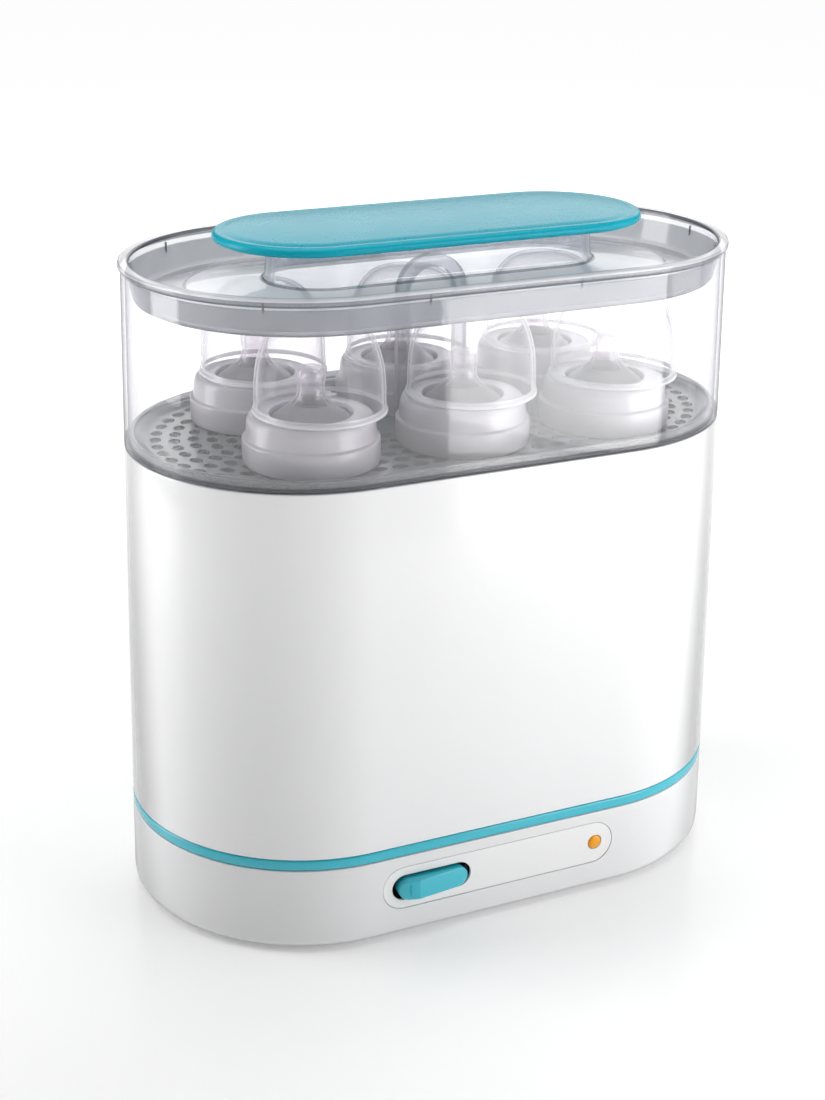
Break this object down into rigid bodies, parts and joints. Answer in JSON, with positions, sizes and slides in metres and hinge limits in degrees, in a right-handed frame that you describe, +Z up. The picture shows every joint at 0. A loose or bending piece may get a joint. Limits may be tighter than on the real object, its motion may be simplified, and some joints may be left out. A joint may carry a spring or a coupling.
{
  "type": "bottle steriliser",
  "caption": "Oval electric steam steriliser for feeding bottles: base with heating plate, large basket, small basket holding bottle tops, clear lid with a handle plate.",
  "frame": {"origin": "centre of the footprint, on the surface that the feet stand on", "axes": "+Z up, -Y towards the control panel at the front, +X to the right as seen from the front"},
  "size_m": [0.2976, 0.1764, 0.3189],
  "materials": {
    "white_body": "glossy white moulding",
    "white_base": "satin white moulding",
    "teal": "satin blue-green moulding",
    "clear": "clear, slightly cool moulding",
    "smoke": "smoky translucent moulding",
    "milky": "milky translucent moulding",
    "silicone": "clear soft silicone",
    "basin_grey": "light grey heat-resistant moulding",
    "dark_plastic": "dark grey moulding",
    "foot_rubber": "soft dark rubber",
    "lead_red": "insulated lead",
    "plate_metal": "coated heating plate",
    "steel": "bright steel",
    "board_green": "circuit board",
    "amber": "amber lens"
  },
  "bodies": {
    "base": {"base_housing": "white_base", "base_plate": "dark_plastic", "foot_1": "foot_rubber", "foot_2": "foot_rubber", "foot_3": "foot_rubber", "foot_4": "foot_rubber", "base_screw_1": "steel", "base_screw_2": "steel", "base_screw_3": "steel", "base_screw_4": "steel", "accent_ring": "teal", "water_basin": "basin_grey", "heater_seal": "foot_rubber", "heating_plate": "plate_metal", "heating_element": "steel", "thermostat": "steel", "thermal_fuse": "steel", "control_board": "board_green", "indicator_led": "amber", "indicator_lens": "amber", "control_panel": "white_base", "switch_module": "dark_plastic", "rocker_pin": "steel", "cord_gland": "dark_plastic", "terminal_block": "milky", "lead_left": "lead_red", "lead_right": "lead_red", "lead_switch": "lead_red"},
    "rocker": {"power_rocker": "teal"},
    "basket": {"large_basket": "white_body"},
    "divider": {"fold_plate": "smoke"},
    "tray": {"small_basket_tray": "smoke", "basket_handle": "smoke", "bottle_ring_1": "milky", "bottle_ring_2": "milky", "bottle_ring_3": "milky", "bottle_ring_4": "milky", "bottle_ring_5": "milky", "bottle_ring_6": "milky", "teat_1": "silicone", "teat_2": "silicone", "teat_3": "silicone", "teat_4": "silicone", "teat_5": "silicone", "teat_6": "silicone", "dome_cap_1": "clear", "dome_cap_2": "clear", "dome_cap_3": "clear", "dome_cap_4": "clear", "dome_cap_5": "clear", "dome_cap_6": "clear"},
    "lid": {"lid_shell": "clear", "lid_handle": "teal"}
  },
  "joints": [
    {"name": "large_basket_lift", "type": "slide", "parent": "base", "child": "basket", "axis": [0, 0, 1], "range_m": [0, 0.08]},
    {"name": "small_basket_lift", "type": "slide", "parent": "basket", "child": "tray", "axis": [0, 0, 1], "range_m": [0, 0.08]},
    {"name": "lid_lift", "type": "slide", "parent": "tray", "child": "lid", "axis": [0, 0, 1], "range_m": [0, 0.11]},
    {"name": "key_rock", "type": "hinge", "parent": "base", "child": "rocker", "pos_m": [-0.0358, -0.075, 0.0262], "axis": [0, 0, 1], "range_deg": [-6, 0]},
    {"name": "divider_fold", "type": "hinge", "parent": "basket", "child": "divider", "pos_m": [0, 0, 0.057], "axis": [1, 0, 0], "range_deg": [0, 90]}
  ]
}
